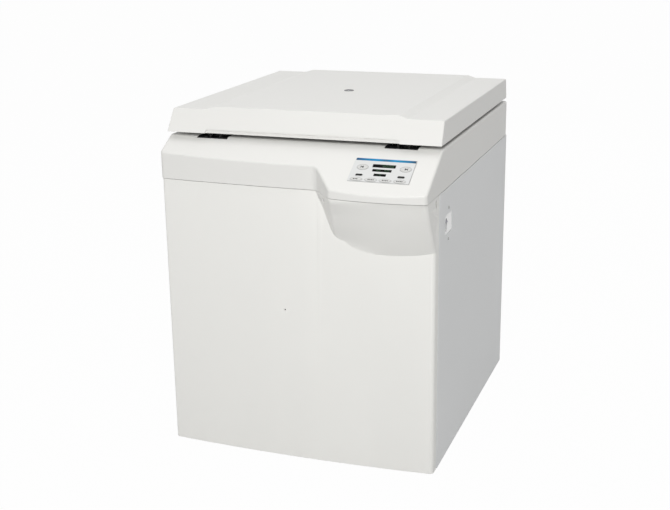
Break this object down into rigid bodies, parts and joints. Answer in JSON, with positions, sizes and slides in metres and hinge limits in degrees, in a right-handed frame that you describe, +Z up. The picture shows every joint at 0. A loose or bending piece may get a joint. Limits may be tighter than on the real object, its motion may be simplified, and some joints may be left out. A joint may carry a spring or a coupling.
{
  "type": "refrigerated centrifuge",
  "caption": "Floor-standing refrigerated centrifuge: sheet steel cabinet, moulded top with a sloped control console, hinged lid and a chamber with a swing-out rotor and buckets.",
  "frame": {"origin": "on the floor, at the middle of the footprint including the console", "axes": "+Z up, -Y out of the front, +X to the right seen from the front"},
  "size_m": [0.6814, 0.8609, 0.8471],
  "materials": {
    "moulded_housing": "fine textured off-white moulding",
    "cabinet_paint": "off-white textured powder coat",
    "frame_paint": "black powder coat",
    "galvanised": "zinc plated sheet",
    "stainless": "brushed stainless steel",
    "rotor_aluminium": "clear anodised",
    "bucket_aluminium": "grey hard anodised",
    "overlay_film": "printed membrane, satin",
    "key_film": "printed membrane, satin",
    "display": "smoked display window",
    "board": "green circuit board",
    "black_plastic": "black moulding",
    "dark_plastic": "dark grey moulding",
    "breaker_white": "white thermoset moulding",
    "rubber": "black rubber",
    "gasket_rubber": "grey silicone rubber",
    "foam": "rigid foam",
    "port_window": "clear window",
    "screw_steel": "zinc plated",
    "copper": "soft copper tube",
    "motor_grey": "dark grey paint",
    "compressor_black": "black enamel",
    "fin_aluminium": "mill finish fins"
  },
  "bodies": {
    "cabinet": {"base_tray": "galvanised", "frame": "frame_paint", "levelling_feet": "rubber", "front_panel": "moulded_housing", "left_side_panel": "cabinet_paint", "right_side_panel": "cabinet_paint", "rear_panel": "cabinet_paint", "top_housing": "moulded_housing", "control_overlay": "overlay_film", "display_windows": "display", "control_board": "board", "chamber_bowl": "stainless", "evaporator_coil": "copper", "chamber_insulation": "foam", "guard_ring": "frame_paint", "chamber_floor": "galvanised", "chamber_gasket": "gasket_rubber", "drive_motor": "motor_grey", "rubber_mounts": "rubber", "latch_bezels": "black_plastic", "latch_bodies": "galvanised", "breaker_body": "breaker_white", "breaker_bracket": "galvanised", "cover_screws": "screw_steel", "compressor": "compressor_black", "condenser": "fin_aluminium", "fan_shroud": "galvanised", "refrigerant_lines": "copper", "inverter": "galvanised", "cable_gland": "black_plastic", "housing_hinge_leaves": "screw_steel", "hinge_pins": "screw_steel", "shaft_seal": "rubber"},
    "lid": {"lid_cover": "moulded_housing", "lid_liner": "stainless", "lid_foam": "foam", "port_tube": "dark_plastic", "port_glass": "port_window", "lid_hinge_leaves": "screw_steel", "lid_strikers": "screw_steel"},
    "rotor": {"rotor_shaft": "stainless", "rotor_yoke": "rotor_aluminium", "trunnion_pins": "stainless", "rotor_nut": "rotor_aluminium"},
    "left_latch_hook": {"left_latch_hook": "screw_steel"},
    "right_latch_hook": {"right_latch_hook": "screw_steel"},
    "breaker_toggle": {"breaker_toggle": "dark_plastic"},
    "fan": {"fan": "black_plastic"},
    "key_round_left": {"key_round_left": "key_film"},
    "key_round_right": {"key_round_right": "key_film"},
    "key_small_left": {"key_small_left": "key_film"},
    "key_small_right": {"key_small_right": "key_film"},
    "key_row_1": {"key_row_1": "key_film"},
    "key_row_2": {"key_row_2": "key_film"},
    "key_row_3": {"key_row_3": "key_film"},
    "key_row_4": {"key_row_4": "key_film"},
    "bucket_1": {"bucket_1": "bucket_aluminium"},
    "bucket_2": {"bucket_2": "bucket_aluminium"},
    "bucket_3": {"bucket_3": "bucket_aluminium"},
    "bucket_4": {"bucket_4": "bucket_aluminium"}
  },
  "joints": [
    {"name": "lid_hinge", "type": "hinge", "parent": "cabinet", "child": "lid", "pos_m": [0, 0.4166, 0.783], "axis": [-1, 0, 0], "range_deg": [0, 75]},
    {"name": "rotor_spin", "type": "hinge", "parent": "cabinet", "child": "rotor", "pos_m": [0, 0.0591, 0.64], "axis": [0, 0, 1], "continuous": true},
    {"name": "bucket_1_swing", "type": "hinge", "parent": "rotor", "child": "bucket_1", "pos_m": [0.112, 0.0591, 0.64], "axis": [0, -1, 0], "range_deg": [-10, 90]},
    {"name": "bucket_2_swing", "type": "hinge", "parent": "rotor", "child": "bucket_2", "pos_m": [0, 0.1711, 0.64], "axis": [1, 0, 0], "range_deg": [-10, 90]},
    {"name": "bucket_3_swing", "type": "hinge", "parent": "rotor", "child": "bucket_3", "pos_m": [-0.112, 0.0591, 0.64], "axis": [0, 1, 0], "range_deg": [-10, 90]},
    {"name": "bucket_4_swing", "type": "hinge", "parent": "rotor", "child": "bucket_4", "pos_m": [0, -0.0529, 0.64], "axis": [-1, 0, 0], "range_deg": [-10, 90]},
    {"name": "left_latch_turn", "type": "hinge", "parent": "cabinet", "child": "left_latch_hook", "pos_m": [-0.226, -0.2549, 0.722], "axis": [1, 0, 0], "range_deg": [0, 25]},
    {"name": "right_latch_turn", "type": "hinge", "parent": "cabinet", "child": "right_latch_hook", "pos_m": [0.243, -0.2549, 0.722], "axis": [1, 0, 0], "range_deg": [0, 25]},
    {"name": "breaker_throw", "type": "hinge", "parent": "cabinet", "child": "breaker_toggle", "pos_m": [0.3255, -0.2474, 0.5945], "axis": [0, 1, 0], "range_deg": [0, 60]},
    {"name": "key_round_left_press", "type": "slide", "parent": "cabinet", "child": "key_round_left", "axis": [0, 0.4806, -0.877], "range_m": [0, 0.0006], "stiffness_N_per_m": 2500},
    {"name": "key_round_right_press", "type": "slide", "parent": "cabinet", "child": "key_round_right", "axis": [0, 0.4806, -0.877], "range_m": [0, 0.0006], "stiffness_N_per_m": 2500},
    {"name": "key_small_left_press", "type": "slide", "parent": "cabinet", "child": "key_small_left", "axis": [0, 0.4806, -0.877], "range_m": [0, 0.0006], "stiffness_N_per_m": 2500},
    {"name": "key_small_right_press", "type": "slide", "parent": "cabinet", "child": "key_small_right", "axis": [0, 0.4806, -0.877], "range_m": [0, 0.0006], "stiffness_N_per_m": 2500},
    {"name": "key_row_1_press", "type": "slide", "parent": "cabinet", "child": "key_row_1", "axis": [0, 0.4806, -0.877], "range_m": [0, 0.0006], "stiffness_N_per_m": 2500},
    {"name": "key_row_2_press", "type": "slide", "parent": "cabinet", "child": "key_row_2", "axis": [0, 0.4806, -0.877], "range_m": [0, 0.0006], "stiffness_N_per_m": 2500},
    {"name": "key_row_3_press", "type": "slide", "parent": "cabinet", "child": "key_row_3", "axis": [0, 0.4806, -0.877], "range_m": [0, 0.0006], "stiffness_N_per_m": 2500},
    {"name": "key_row_4_press", "type": "slide", "parent": "cabinet", "child": "key_row_4", "axis": [0, 0.4806, -0.877], "range_m": [0, 0.0006], "stiffness_N_per_m": 2500},
    {"name": "fan_spin", "type": "hinge", "parent": "cabinet", "child": "fan", "pos_m": [-0.165, 0.3811, 0.157], "axis": [0, 1, 0], "continuous": true}
  ],
  "couplings": [
    {"joint": "right_latch_turn", "follows": "left_latch_turn", "ratio": 1}
  ]
}
